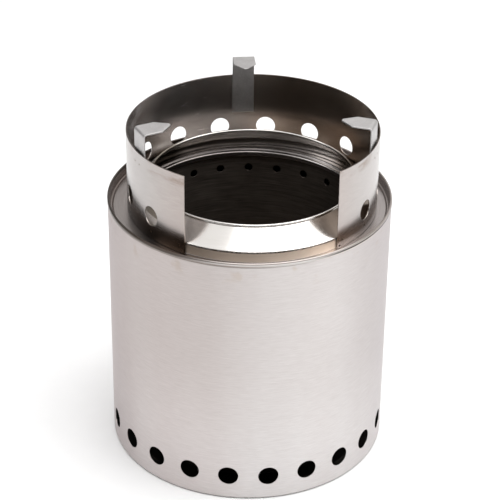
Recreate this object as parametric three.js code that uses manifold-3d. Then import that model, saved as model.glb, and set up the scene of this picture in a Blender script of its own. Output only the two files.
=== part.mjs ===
// Camping stove: a double-walled wood stove that draws air in at its foot, with a lift-off pot ring.
// Millimetres, +Z up. The origin is the centre of the underside, and the feed opening looks along -Y.

import * as THREE from 'three';
import { mergeVertices } from 'three/addons/utils/BufferGeometryUtils.js';
import Module from 'manifold-3d';

const wasm = await Module();
wasm.setup();

// Clearances
const contactGap = 0.3; // between two sheets that touch or are welded together
const seatPlay = 2.4; // pot ring's flange to the locating bead inside it
const cutOvershoot = 2; // how far a cutter runs past the sheet that it cuts

// Facets of round shapes
const bodySides = 44;
const panSides = 32;
const holeSides = 12;
const smallHoleSides = 6;
const bendSteps = 2;
const rollSteps = 4;

// Outer shell
const shellRadius = 88.9;
const shellWall = 0.5;
const stoveHeight = 171.5; // top of the rolled rim, without the pot ring
const hemWidth = 4.4; // flat hem that the stove stands on
const hemBend = 1.3;
const intakeCount = 22;
const intakeRadius = 6.4;
const intakeHeight = 17.3;

// Rim and seat: one pressed ring that hooks over the shell and carries the pot ring
const seatWall = 0.5;
const seatDepth = 6.2; // seat floor below the top of the rim
const rimSkirt = 1.6; // straight part of the hook outside the shell
const creaseDepth = 0.4;
const seatBend = 1.5;
const beadHeight = 1.1;
const beadHalfWidth = 0.9;
const mouthLand = 1.75; // flat between the bead and the bend into the mouth
const mouthBend = 0.8;
const mouthSkirt = 3;

// Burn chamber
const chamberOverhang = 3.3; // how much wider its outside is than the mouth
const chamberWall = 0.5;
const chamberFloorHeight = 34;
const chamberFlange = 9;
const chamberBend = 1;
const jetCount = 24;
const jetRadius = 2.6;
const jetBelowSeat = 13;
const primaryCount = 16;
const primaryRadius = 4;
const primaryAboveFloor = 9;

// Grate and its support
const supportWall = 0.5;
const supportAboveFloor = 20.5; // top face
const supportWidth = 5.6;
const supportLeg = 6;
const supportBend = 0.9;
const wireRadius = 1.25;
const wireSides = 6;
const hoopCount = 4;
const hoopSides = 36;
const hoopSidesLess = 6; // for each smaller hoop
const grateClearance = 1.6; // to the chamber's wall; the grate stays wider than the mouth
const spokeCount = 4;
const spokeInnerEnd = 8;

// Ash pan, heat shield and base
const panWall = 0.5;
const panDepth = 12;
const panRimWidth = 7;
const panTaper = 3;
const panBend = 1.5;
const panRimBend = 0.9;
const shieldInset = 20.9; // inside the shell's outside
const shieldHeight = 6;
const baseWall = 0.5;
const baseRaise = 2;
const baseRaiseInset = 10.9;

// Pot ring
const ringInset = 10.7; // inside the shell's outside
const ringWall = 0.7;
const ringHeight = 51.8;
const ringShift = 1.6; // it lies loose on the seat, this far off centre towards +X
const ringTurnDegrees = 4.3; // and turned this far
const feedWidthDegrees = 71.6;
const ventPitchDegrees = 22.5;
const ventCount = 12;
const ventRadius = 6.3;
const ventHeight = 15.1; // centre above the ring's foot

// Flame cone, pressed in one piece with the flange that the ring wall is welded to
const coneWall = 0.6;
const flangeHeight = 6.6;
const flangeBend = 0.9;
const coneRise = 11.2;
const coneRun = 13.1; // from the flange's inside to the clear opening
const lipRoll = 0.6; // radius of the rolled lip's midline

// Pot supports
const bracketWall = 1;
const bracketWidth = 14;
const bracketReach = 20.5;
const bracketTipLength = 7.8;
const bracketTipWidth = 2;
const bracketStand = 13.6; // top face above the ring's rim
const bracketDrop = 26; // leg's end below the ring's rim
const bracketBend = 1.4;
const bracketAngles = { left: -67.5, rear: 180, right: 67.5 };

// Spot welds
const weldRadius = 0.7;
const weldRecess = 0.15;
const weldHeight = 4.7; // above the ring's foot
const weldFromFeedDegrees = 3;
const lowWeldHeight = 1.45;
const lowWeldFromFeedDegrees = 1.5;
const bracketWeldSpread = 3;
const bracketWeldDrop = 7;

// Heights and radii that follow
const ringRadius = shellRadius - ringInset;
const flangeRadius = ringRadius - ringWall - contactGap;
const beadRadius = flangeRadius - coneWall - seatPlay - beadHalfWidth;
const mouthRadius = beadRadius - beadHalfWidth - mouthLand - mouthBend - seatWall / 2;
const chamberRadius = mouthRadius + chamberOverhang;
const chamberInnerRadius = chamberRadius - chamberWall;
const grateRadius = chamberInnerRadius - grateClearance;
const seatTop = stoveHeight - seatDepth;
const seatUnderside = seatTop - seatWall;
const baseTop = shellWall + contactGap + baseWall + baseRaise;
const ringFoot = seatTop + contactGap;
const ringTop = ringFoot + ringHeight;
const supportHeight = chamberFloorHeight + supportAboveFloor;
const feedHalf = feedWidthDegrees / 2;
const ventAngles = Array.from(
  { length: ventCount },
  (_, i) => 180 + (i - (ventCount - 1) / 2) * ventPitchDegrees,
);

const steel = (color, roughness) => new THREE.MeshStandardMaterial({ color, roughness, metalness: 1 });
const shellSteel = steel(0xcfcac8, 0.36);
const seatSteel = steel(0x9b9696, 0.34);
const innerSteel = steel(0x8d8178, 0.48);
const wireSteel = steel(0x5f5650, 0.55);
const ringSteel = steel(0xd2cdca, 0.34);
const coneSteel = steel(0xdedbd6, 0.16);
const bracketSteel = steel(0xc4c1c0, 0.42);
const weldSteel = steel(0x4c4038, 0.6);

// Shapes

const radians = THREE.MathUtils.degToRad;
const point = (x, y) => new THREE.Vector2(x, y);

// Points of an arc from one angle to another, in degrees, both ends included.
function arc(centreX, centreY, radius, fromDegrees, toDegrees, steps = bendSteps) {
  const points = [];
  for (let i = 0; i <= steps; i++) {
    const angle = radians(fromDegrees + ((toDegrees - fromDegrees) * i) / steps);
    points.push(point(centreX + radius * Math.cos(angle), centreY + radius * Math.sin(angle)));
  }
  return points;
}

// Closed outline of a sheet of even thickness that follows a midline.
function sheetOutline(midline, wall) {
  const normals = midline.slice(1).map((end, i) => {
    const along = end.clone().sub(midline[i]).normalize();
    return point(-along.y, along.x);
  });
  const sides = [1, -1].map((side) =>
    midline.map((here, i) => {
      const before = normals[Math.max(i - 1, 0)];
      const after = normals[Math.min(i, normals.length - 1)];
      const mitre = before.clone().add(after).normalize();
      const reach = wall / 2 / mitre.dot(after);
      return here.clone().addScaledVector(mitre, side * reach);
    }),
  );
  return [...sides[0], ...sides[1].reverse()];
}

// Turns an outline of (radius, height) points about the Z axis.
// An outline that ends on the axis stays open there.
function revolve(outline, sides = bodySides) {
  const area = THREE.ShapeUtils.area(outline);
  const ring = area > 0 ? [...outline] : [...outline].reverse();
  const onAxis = ring.findIndex((p, i) => p.x < 1e-9 && ring[(i + 1) % ring.length].x < 1e-9);
  const closed =
    onAxis < 0 ? [...ring, ring[0]] : [...ring.slice(onAxis + 1), ...ring.slice(0, onAxis + 1)];
  return new THREE.LatheGeometry(closed, sides).rotateX(Math.PI / 2);
}

function toSolid(geometry) {
  const bare = geometry.clone();
  bare.deleteAttribute('normal');
  bare.deleteAttribute('uv');
  const welded = mergeVertices(bare, 1e-4);
  const mesh = new wasm.Mesh({
    numProp: 3,
    vertProperties: welded.attributes.position.array,
    triVerts: new Uint32Array(welded.index.array),
  });
  return new wasm.Manifold(mesh);
}

function toGeometry(solid) {
  const mesh = solid.getMesh();
  const geometry = new THREE.BufferGeometry();
  geometry.setAttribute('position', new THREE.BufferAttribute(mesh.vertProperties, 3));
  geometry.setIndex(new THREE.BufferAttribute(mesh.triVerts, 1));
  geometry.computeVertexNormals();
  return geometry;
}

// A cylinder that points away from the Z axis at an angle measured from -Y towards +X.
function radialCylinder(radius, fromRadius, toRadius, angleDegrees, height, sides) {
  return new THREE.CylinderGeometry(radius, radius, toRadius - fromRadius, sides)
    .translate(0, -(fromRadius + toRadius) / 2, 0)
    .rotateZ(radians(angleDegrees))
    .translate(0, 0, height);
}

// Cuts one row of round holes through a wall of revolution.
function cutHoles(solid, { angles, radius, height, from, to, sides }) {
  return angles.reduce(
    (rest, angle) => rest.subtract(toSolid(radialCylinder(radius, from, to, angle, height, sides))),
    solid,
  );
}

const evenAngles = (count, firstDegrees = 0) =>
  Array.from({ length: count }, (_, i) => firstDegrees + (360 / count) * i);

// Stove body

function outerShell() {
  const middle = shellRadius - shellWall / 2;
  const hem = shellWall / 2;
  const hookStart = stoveHeight - seatWall - contactGap - shellWall / 2 - rimSkirt;
  const neck = contactGap + seatWall / 2;
  const outline = sheetOutline(
    [
      point(middle - hemWidth, hem),
      ...arc(middle - hemBend, hem + hemBend, hemBend, -90, 0),
      point(middle, hookStart - 2 * neck),
      point(middle - neck, hookStart - neck),
      point(middle - neck, hookStart + rimSkirt),
    ],
    shellWall,
  );
  const holes = {
    angles: evenAngles(intakeCount, 180 / intakeCount),
    radius: intakeRadius,
    height: intakeHeight,
    from: shellRadius - shellWall - cutOvershoot,
    to: shellRadius + cutOvershoot,
    sides: holeSides,
  };
  return toGeometry(cutHoles(toSolid(revolve(outline)), holes));
}

function rimAndSeat() {
  const neckMiddle = shellRadius - shellWall / 2 - contactGap - seatWall / 2;
  const roll = shellWall / 2 + contactGap + seatWall / 2;
  const rollCentre = stoveHeight - seatWall / 2 - roll;
  const innerWall = neckMiddle - roll;
  const floor = seatTop - seatWall / 2;
  const crease = floor - creaseDepth;
  const midline = [
    point(neckMiddle + roll, rollCentre - rimSkirt),
    ...arc(neckMiddle, rollCentre, roll, 0, 180, rollSteps),
    ...arc(innerWall - seatBend, crease + seatBend, seatBend, 0, -90),
    point(innerWall - seatBend - 2 * creaseDepth, floor),
    point(beadRadius + beadHalfWidth, floor),
    point(beadRadius, floor + beadHeight),
    point(beadRadius - beadHalfWidth, floor),
    ...arc(mouthRadius + seatWall / 2 + mouthBend, floor - mouthBend, mouthBend, 90, 180),
    point(mouthRadius + seatWall / 2, floor - mouthSkirt),
  ];
  return revolve(sheetOutline(midline, seatWall));
}

function burnChamber() {
  const middle = chamberRadius - chamberWall / 2;
  const floor = chamberFloorHeight + chamberWall / 2;
  const midline = [
    point(chamberRadius - chamberFlange, floor),
    ...arc(middle - chamberBend, floor + chamberBend, chamberBend, -90, 0),
    point(middle, seatUnderside - contactGap),
  ];
  const reach = {
    from: chamberInnerRadius - cutOvershoot,
    to: chamberRadius + cutOvershoot,
    sides: smallHoleSides,
  };
  const jets = { ...reach, angles: evenAngles(jetCount), radius: jetRadius, height: seatTop - jetBelowSeat };
  const inlets = {
    ...reach,
    angles: evenAngles(primaryCount, 180 / primaryCount),
    radius: primaryRadius,
    height: chamberFloorHeight + primaryAboveFloor,
  };
  const wall = toSolid(revolve(sheetOutline(midline, chamberWall)));
  return toGeometry(cutHoles(cutHoles(wall, jets), inlets));
}

function grateSupport() {
  const middle = chamberInnerRadius - contactGap - supportWall / 2;
  const top = supportHeight - supportWall / 2;
  const midline = [
    point(middle, supportHeight - supportLeg),
    ...arc(middle - supportBend, top - supportBend, supportBend, 0, 90),
    point(middle - supportWidth, top),
  ];
  return revolve(sheetOutline(midline, supportWall));
}

function ashPan() {
  const rim = chamberFloorHeight + chamberWall + contactGap + panWall / 2;
  const throat = chamberRadius - chamberFlange - contactGap - panWall;
  const floor = rim - panDepth;
  const midline = [
    point(throat + panRimWidth, rim),
    ...arc(throat + panRimBend, rim - panRimBend, panRimBend, 90, 180),
    ...arc(throat - panTaper - panBend, floor + panBend, panBend, 0, -90),
    point(0, floor),
  ];
  return revolve(sheetOutline(midline, panWall), panSides);
}

function heatShield() {
  const foot = baseTop + contactGap;
  const shieldRadius = shellRadius - shieldInset;
  const top = foot + shieldHeight;
  const midline = [
    point(shieldRadius, foot),
    ...arc(shieldRadius - panBend, top - panBend, panBend, 0, 90),
    point(0, top),
  ];
  return revolve(sheetOutline(midline, panWall), panSides);
}

function basePlate() {
  const low = shellWall + contactGap + baseWall / 2;
  const raised = shellRadius - baseRaiseInset;
  const midline = [
    point(shellRadius - shellWall - contactGap - hemBend / 2, low),
    point(raised + baseRaise, low),
    point(raised, low + baseRaise),
    point(0, low + baseRaise),
  ];
  return revolve(sheetOutline(midline, baseWall));
}

// Grate

const spokeHeight = supportHeight + contactGap + wireRadius;
const hoopHeight = spokeHeight + 2 * wireRadius + contactGap;

function grateHoop(index) {
  const pitch = grateRadius / hoopCount;
  const middle = grateRadius - wireRadius - index * pitch;
  const section = arc(middle, hoopHeight, wireRadius, 0, 360, wireSides).slice(0, wireSides);
  return revolve(section, hoopSides - index * hoopSidesLess);
}

function grateSpoke(index) {
  const end = grateRadius - wireRadius / 2;
  const angle = (360 / spokeCount) * (index + 0.5);
  return radialCylinder(wireRadius, spokeInnerEnd, end, angle, spokeHeight, smallHoleSides);
}

// Pot ring: its own axis is the Z axis, and its feed opening looks along -Y

function ringWallSheet() {
  const inner = ringRadius - ringWall;
  const steps = Math.round(bodySides * (1 - feedWidthDegrees / 360));
  const shape = new THREE.Shape().setFromPoints([
    ...arc(0, 0, ringRadius, feedHalf - 90, 270 - feedHalf, steps),
    ...arc(0, 0, inner, 270 - feedHalf, feedHalf - 90, steps),
  ]);
  const wall = new THREE.ExtrudeGeometry(shape, { depth: ringHeight, bevelEnabled: false });
  const reach = { from: inner - cutOvershoot, to: ringRadius + cutOvershoot };
  const vents = {
    ...reach,
    angles: ventAngles,
    radius: ventRadius,
    height: ringFoot + ventHeight,
    sides: holeSides,
  };
  const withVents = cutHoles(toSolid(wall.translate(0, 0, ringFoot)), vents);
  const drilled = weldPlaces().reduce(
    (rest, { angle, height }) =>
      cutHoles(rest, {
        ...reach,
        angles: [angle],
        radius: weldRadius + contactGap,
        height,
        sides: smallHoleSides,
      }),
    withVents,
  );
  return toGeometry(drilled);
}

function flameCone() {
  const middle = flangeRadius - coneWall / 2;
  const shoulder = ringFoot + flangeHeight;
  const lipRadius = flangeRadius - coneWall - coneRun;
  const lipCentre = point(lipRadius + lipRoll + coneWall / 2, shoulder + coneRise);
  const rise = Math.atan2(coneRise, middle - lipCentre.x);
  const slope = THREE.MathUtils.radToDeg(rise);
  const midline = [
    point(middle, ringFoot),
    ...arc(middle - flangeBend, shoulder - flangeBend, flangeBend, 0, 90 - slope),
    ...arc(lipCentre.x, lipCentre.y, lipRoll, 270 - slope, 0, rollSteps),
  ];
  return revolve(sheetOutline(midline, coneWall));
}

function potBracket() {
  const legFace = Math.sqrt((flangeRadius + contactGap) ** 2 - (bracketWidth / 2) ** 2) - 2 * contactGap;
  const legMiddle = legFace - bracketWall / 2;
  const top = ringTop + bracketStand - bracketWall / 2;
  const tip = legFace - bracketReach;
  const midline = [
    point(legMiddle, ringTop - bracketDrop),
    ...arc(legMiddle - bracketBend, top - bracketBend, bracketBend, 0, 90, rollSteps),
    point(tip, top),
  ];
  const side = new THREE.Shape().setFromPoints(sheetOutline(midline, bracketWall));
  const strip = new THREE.ExtrudeGeometry(side, { depth: bracketWidth, bevelEnabled: false })
    .rotateX(Math.PI / 2)
    .translate(0, bracketWidth / 2, 0);
  const half = bracketWidth / 2;
  const plan = new THREE.Shape().setFromPoints([
    point(legFace + cutOvershoot, -half - cutOvershoot),
    point(legFace + cutOvershoot, half + cutOvershoot),
    point(tip + bracketTipLength, half + cutOvershoot),
    point(tip + bracketTipLength, half),
    point(tip, bracketTipWidth / 2),
    point(tip, -bracketTipWidth / 2),
    point(tip + bracketTipLength, -half),
    point(tip + bracketTipLength, -half - cutOvershoot),
  ]);
  const punch = new THREE.ExtrudeGeometry(plan, {
    depth: bracketDrop + bracketStand + 2 * cutOvershoot,
    bevelEnabled: false,
  }).translate(0, 0, ringTop - bracketDrop - cutOvershoot);
  return toGeometry(toSolid(strip).intersect(toSolid(punch)));
}

// Spot welds: one under each vent, two at each end of the wall, and two on each bracket.
function weldPlaces() {
  const places = ventAngles.map((angle, i) => ({
    name: `vent_weld_${i + 1}`,
    angle,
    height: ringFoot + weldHeight,
  }));
  for (const [side, sign] of [['right', 1], ['left', -1]]) {
    places.push({
      name: `end_weld_upper_${side}`,
      angle: sign * (feedHalf + weldFromFeedDegrees),
      height: ringFoot + weldHeight,
    });
    places.push({
      name: `end_weld_lower_${side}`,
      angle: sign * (feedHalf + lowWeldFromFeedDegrees),
      height: ringFoot + lowWeldHeight,
    });
  }
  const spread = THREE.MathUtils.radToDeg(bracketWeldSpread / ringRadius);
  for (const [side, middle] of Object.entries(bracketAngles)) {
    [-1, 1].forEach((sign, i) =>
      places.push({
        name: `bracket_weld_${side}_${i + 1}`,
        angle: middle + sign * spread,
        height: ringTop - bracketWeldDrop,
      }),
    );
  }
  return places;
}

function spotWeld({ angle, height }) {
  const from = ringRadius - ringWall;
  const to = ringRadius - weldRecess;
  return radialCylinder(weldRadius, from, to, angle, height, smallHoleSides);
}

// Assembly

const stove = new THREE.Group();

function add(parent, name, geometry, material) {
  const mesh = new THREE.Mesh(geometry, material);
  mesh.name = name;
  parent.add(mesh);
  return mesh;
}

add(stove, 'outer_shell', outerShell(), shellSteel);
add(stove, 'rim_and_seat', rimAndSeat(), seatSteel);
add(stove, 'burn_chamber', burnChamber(), innerSteel);
add(stove, 'grate_support', grateSupport(), innerSteel);
add(stove, 'ash_pan', ashPan(), innerSteel);
add(stove, 'heat_shield', heatShield(), innerSteel);
add(stove, 'base_plate', basePlate(), shellSteel);

const grate = new THREE.Group();
stove.add(grate);
for (let i = 0; i < hoopCount; i++) {
  add(grate, `grate_hoop_${i + 1}`, grateHoop(i), wireSteel);
}
for (let i = 0; i < spokeCount; i++) {
  add(grate, `grate_spoke_${i + 1}`, grateSpoke(i), wireSteel);
}

const potRing = new THREE.Group();
potRing.position.x = ringShift;
potRing.rotation.z = radians(ringTurnDegrees);
stove.add(potRing);
add(potRing, 'ring_wall', ringWallSheet(), ringSteel);
add(potRing, 'flame_cone', flameCone(), coneSteel);
const bracket = potBracket();
for (const [side, angle] of Object.entries(bracketAngles)) {
  const mesh = add(potRing, `pot_bracket_${side}`, bracket, bracketSteel);
  mesh.rotation.z = radians(angle - 90);
}
for (const place of weldPlaces()) {
  add(potRing, place.name, spotWeld(place), weldSteel);
}

export default stove;
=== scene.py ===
import math

import bmesh
import bpy
import numpy as np
from mathutils import Matrix, Vector


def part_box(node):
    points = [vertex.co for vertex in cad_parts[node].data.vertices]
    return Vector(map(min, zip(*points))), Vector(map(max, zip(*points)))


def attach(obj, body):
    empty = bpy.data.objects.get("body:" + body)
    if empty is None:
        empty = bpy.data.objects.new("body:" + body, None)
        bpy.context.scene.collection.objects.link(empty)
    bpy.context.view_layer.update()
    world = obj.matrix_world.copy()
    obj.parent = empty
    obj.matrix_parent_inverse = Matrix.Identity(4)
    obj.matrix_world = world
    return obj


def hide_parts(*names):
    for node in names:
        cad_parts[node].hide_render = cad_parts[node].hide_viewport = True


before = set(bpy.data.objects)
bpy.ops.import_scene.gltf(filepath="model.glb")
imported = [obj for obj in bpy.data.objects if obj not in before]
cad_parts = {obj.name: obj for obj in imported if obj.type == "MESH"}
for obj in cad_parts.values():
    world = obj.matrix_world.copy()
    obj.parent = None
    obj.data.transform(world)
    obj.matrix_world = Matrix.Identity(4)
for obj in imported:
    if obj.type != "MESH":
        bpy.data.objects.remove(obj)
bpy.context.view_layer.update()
print("frame loaded:", len(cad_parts), "nodes")

# All shapes are worked out in millimetres about the stove's upright axis and become metres in the mesh.
# An angle of 0 looks along -Y and grows towards +X.
metresPerMm = 0.001
weldDistance = 2e-6  # metres; doubles closer than this are merged
fullTurn = 2 * math.pi


def cadTop(node):
    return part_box(node)[1].z / metresPerMm


def cadFoot(node):
    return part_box(node)[0].z / metresPerMm


def cadRadius(node):
    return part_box(node)[1].x / metresPerMm


# Surfaces: patches of points with their faces.

def gridFaces(rows, columns, closeRows=False, closeColumns=False):
    # four corners of each cell of a grid of points that is stored row by row
    row, column = np.meshgrid(
        np.arange(rows if closeRows else rows - 1),
        np.arange(columns if closeColumns else columns - 1),
        indexing="ij",
    )
    nextRow, nextColumn = (row + 1) % rows, (column + 1) % columns
    corners = [
        row * columns + column,
        row * columns + nextColumn,
        nextRow * columns + nextColumn,
        nextRow * columns + column,
    ]
    return np.stack(corners, axis=-1).reshape(-1, 4)


def latticeLines(marks, holes, axis, spacing, wideSpacing):
    # every mark and every edge of a hole's block, with even steps between neighbours: close steps beside a
    # hole, and wide ones elsewhere
    spans = [(centre[axis] - halfBlock, centre[axis] + halfBlock) for centre, radius, halfBlock in holes]
    marks = np.unique(np.round([*marks, *(end for span in spans for end in span)], 5))
    parts = []
    for low, high in zip(marks[:-1], marks[1:]):
        middle = (low + high) / 2
        step = spacing if any(start < middle < end for start, end in spans) else wideSpacing
        count = max(1, math.ceil((high - low) / step))
        parts.append(np.linspace(low, high, count, endpoint=False))
    return np.concatenate([*parts, marks[-1:]])


def edgeRound(wall, rounding, steps=3):
    # a quarter circle at each corner of a cut edge: distance back from the edge, and depth below the face
    turn = np.linspace(0, math.pi / 2, steps + 1)
    back = np.concatenate([rounding * (1 - np.sin(turn)), rounding * (1 - np.cos(turn))])
    depth = np.concatenate([rounding * (1 - np.cos(turn)), wall - rounding * (1 - np.sin(turn))])
    return back, depth


def bendPath(corners, radii, lead=0.25, steps=7):
    # straight runs between corners, with an arc of the given radius at each inner corner. Extra points
    # stand a lead away from each arc and from both ends, so shading stays flat on the straight runs
    corners = np.asarray(corners, float)
    runs = np.diff(corners, axis=0)
    lengths = np.linalg.norm(runs, axis=1)
    ways = runs / lengths[:, None]
    turns = np.arccos(np.clip(np.sum(ways[:-1] * ways[1:], axis=1), -1, 1))
    reach = np.concatenate([[0], np.asarray(radii) * np.tan(turns / 2), [0]])
    free = lengths - reach[:-1] - reach[1:]
    leads = np.minimum(lead, free / 3)
    points = [corners[:1], corners[:1] + ways[:1] * leads[0]]
    for i, turn in enumerate(turns, start=1):
        start = corners[i] - ways[i - 1] * reach[i]
        end = corners[i] + ways[i] * reach[i]
        share = np.linspace(0, 1, steps + 1)[:, None]
        inward = ways[i] - ways[i - 1]
        centre = corners[i] + inward / np.linalg.norm(inward) * radii[i - 1] / math.cos(turn / 2)
        swing = np.sin((1 - share) * turn) * (start - centre) + np.sin(share * turn) * (end - centre)
        arc = centre + swing / math.sin(turn)
        points += [[start - ways[i - 1] * leads[i - 1]], arc, [end + ways[i] * leads[i]]]
    points = np.concatenate([*points, corners[-1:] - ways[-1:] * leads[-1], corners[-1:]])
    apart = np.linalg.norm(np.diff(points, axis=0), axis=1) > 1e-6
    return points[np.concatenate([[True], apart])]


def sheetOutline(midline, wall, rounding, openStart=False):
    # half the wall to the left and to the right of each point of the midline, with a rounded cut edge at
    # its ends, or at its far end only where the start is open
    way = np.diff(midline, axis=0)
    way /= np.linalg.norm(way, axis=1)[:, None]
    side = np.stack([-way[:, 1], way[:, 0]], axis=-1)
    before, after = np.vstack([side[:1], side]), np.vstack([side, side[-1:]])
    mitre = before + after
    mitre /= np.linalg.norm(mitre, axis=1)[:, None]
    offset = mitre * (wall / 2 / np.sum(mitre * after, axis=1))[:, None]
    left, right = midline + offset, midline - offset
    back, depth = edgeRound(wall, rounding)
    endCap = midline[-1] - way[-1] * back[:, None] + side[-1] * (wall / 2 - depth)[:, None]
    startCap = midline[0] + way[0] * back[:, None] - side[0] * (wall / 2 - depth)[:, None]
    if openStart:
        return np.concatenate([left[:-1], endCap, right[-2::-1]])
    return np.concatenate([left[1:-1], endCap, right[-2:0:-1], startCap])


def turnedPatch(outline, sides, closed=True):
    # each point of the outline, a radius and a height, carried round the upright axis
    angle = fullTurn * np.arange(sides) / sides
    radius, height = outline[:, :1], outline[:, 1:]
    points = [radius * np.sin(angle), -radius * np.cos(angle), height + 0 * angle]
    return np.stack(points, axis=-1), gridFaces(len(outline), sides, closed, True)


def onCylinder(radius):
    # distance along the sheet becomes an angle, and depth goes in towards the axis
    def place(sheet):
        angle, height, depth = sheet[..., 0] / radius, sheet[..., 1], sheet[..., 2]
        reach = radius - depth
        return np.stack([reach * np.sin(angle), -reach * np.cos(angle), height], axis=-1)
    return place


def blockEdge(along, height, block):
    # lattice points round a block of cells, anticlockwise
    left, right, low, high = block
    return np.concatenate([
        np.stack([along[left:right], np.full(right - left, height[low])], axis=-1),
        np.stack([np.full(high - low, along[right]), height[low:high]], axis=-1),
        np.stack([along[right:left:-1], np.full(right - left, height[high])], axis=-1),
        np.stack([np.full(high - low, along[left]), height[high:low:-1]], axis=-1),
    ])


def sheetFaces(along, height, blocks, wall):
    # both faces of a sheet: every cell of the lattice that lies in no hole's block
    columns, rows = len(along), len(height)
    kept = np.ones((rows - 1, columns - 1), bool)
    for left, right, low, high in blocks:
        kept[low:high, left:right] = False
    faces = gridFaces(rows, columns)[kept.ravel()]
    acrossLattice, upLattice = np.meshgrid(along, height)
    return [
        (np.stack([acrossLattice, upLattice, np.full_like(upLattice, depth)], axis=-1), faces)
        for depth in (0, wall)
    ]


def holePatch(edge, centre, radius, wall, rounding):
    # rings from the edge of a hole's block in to its circle, through the rounded cut edge and out again on
    # the other face: a ring's point is a mix of the block's edge and of a circle in the same direction
    toward = edge - centre
    toward = toward / np.linalg.norm(toward, axis=1)[:, None]
    back, depth = edgeRound(wall, rounding)
    shares = np.array([1, 0.62, 0.3, 0.1, 0])
    land = min(0.2, radius / 8)  # flat ring beside the rounded edge, narrower at a small hole
    share = np.concatenate([shares, np.zeros(len(back)), shares[::-1]])[:, None, None]
    ringRadius = np.concatenate([
        np.full(len(shares), radius + rounding + land),
        radius + back,
        np.full(len(shares), radius + rounding + land),
    ])[:, None, None]
    depths = np.concatenate([np.zeros(len(shares)), depth, np.full(len(shares), wall)])[:, None]
    flat = share * edge + (1 - share) * (centre + ringRadius * toward)
    rows, columns = flat.shape[:2]
    points = np.concatenate([flat, np.broadcast_to(depths, (rows, columns))[..., None]], axis=-1)
    return points, gridFaces(rows, columns, False, True)


def rimPatch(along, height, wall, rounding, land):
    # the cut edge round a sheet with four sides: its lattice ends a land short of the edge, and this goes
    # the rest of the way out, over the rounded edge and back on the other face
    edge = blockEdge(along, height, (0, len(along) - 1, 0, len(height) - 1))
    low, high = edge.min(axis=0), edge.max(axis=0)
    outward = (edge > high - 1e-6).astype(float) - (edge < low + 1e-6)
    back, depth = edgeRound(wall, rounding)
    reach = np.concatenate([[0], land - back, [0]])[:, None, None]
    depths = np.concatenate([[0], depth, [wall]])[:, None]
    flat = edge + reach * outward
    rows, columns = flat.shape[:2]
    points = np.concatenate([flat, np.broadcast_to(depths, (rows, columns))[..., None]], axis=-1)
    return points, gridFaces(rows, columns, False, True)


def bandPatch(along, section):
    # a section of (height, depth) points carried along a sheet
    across, height = np.meshgrid(along, section[:, 0])
    depth = np.broadcast_to(section[:, 1:], across.shape)
    return np.stack([across, height, depth], axis=-1), gridFaces(len(section), len(along))


def drilledSheet(along, height, holes, wall, rounding):
    # a sheet in flat coordinates (along, height, depth), with round holes
    patches, blocks = [], []
    for centre, radius, halfBlock in holes:
        centre = np.asarray(centre, float)
        left, right = (int(np.argmin(abs(along - centre[0] - way * halfBlock))) for way in (-1, 1))
        low, high = (int(np.argmin(abs(height - centre[1] - way * halfBlock))) for way in (-1, 1))
        blocks.append((left, right, low, high))
        edge = blockEdge(along, height, blocks[-1])
        holeRounding = min(rounding, radius / 10)  # sharper at a small hole
        patches.append(holePatch(edge, centre, radius, wall, holeRounding))
    return [*patches, *sheetFaces(along, height, blocks, wall)]


def makePiece(name, patches, body, material, node, place=None):
    # joins patches of points and faces into one closed mesh that stands for a CAD node
    starts = np.cumsum([0] + [points[..., 0].size for points, faces in patches])
    points = np.concatenate([points.reshape(-1, 3) for points, faces in patches])
    faces = np.concatenate([faces + start for (_, faces), start in zip(patches, starts)])
    if place:
        points = place(points)
    mesh = bpy.data.meshes.new(name)
    mesh.from_pydata((points * metresPerMm).tolist(), [], faces.tolist())
    shape = bmesh.new()
    shape.from_mesh(mesh)
    bmesh.ops.remove_doubles(shape, verts=shape.verts, dist=weldDistance)
    bmesh.ops.recalc_face_normals(shape, faces=shape.faces)
    shape.to_mesh(mesh)
    shape.free()
    mesh.polygons.foreach_set("use_smooth", np.ones(len(mesh.polygons), bool))
    mesh.materials.append(material)
    piece = bpy.data.objects.new(name, mesh)
    bpy.context.scene.collection.objects.link(piece)
    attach(piece, body)
    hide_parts(node)
    print("made", name, len(mesh.polygons), "faces")


# Materials: a small class for socket arithmetic, and one for a finish under construction.

class Value:
    # a socket's value; sums and products on it add Math nodes
    def __init__(self, finish, socket):
        self.finish, self.socket = finish, socket

    def math(self, operation, *values):
        return self.finish.node("ShaderNodeMath", {"operation": operation}, dict(enumerate(values)))

    def __add__(self, other):
        return self.math("ADD", self, other)

    def __radd__(self, other):
        return self.math("ADD", other, self)

    def __sub__(self, other):
        return self.math("SUBTRACT", self, other)

    def __rsub__(self, other):
        return self.math("SUBTRACT", other, self)

    def __mul__(self, other):
        return self.math("MULTIPLY", self, other)

    def __rmul__(self, other):
        return self.math("MULTIPLY", other, self)

    def __pow__(self, other):
        return self.math("POWER", self, other)

    def __abs__(self):
        return self.math("ABSOLUTE", self)


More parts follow.
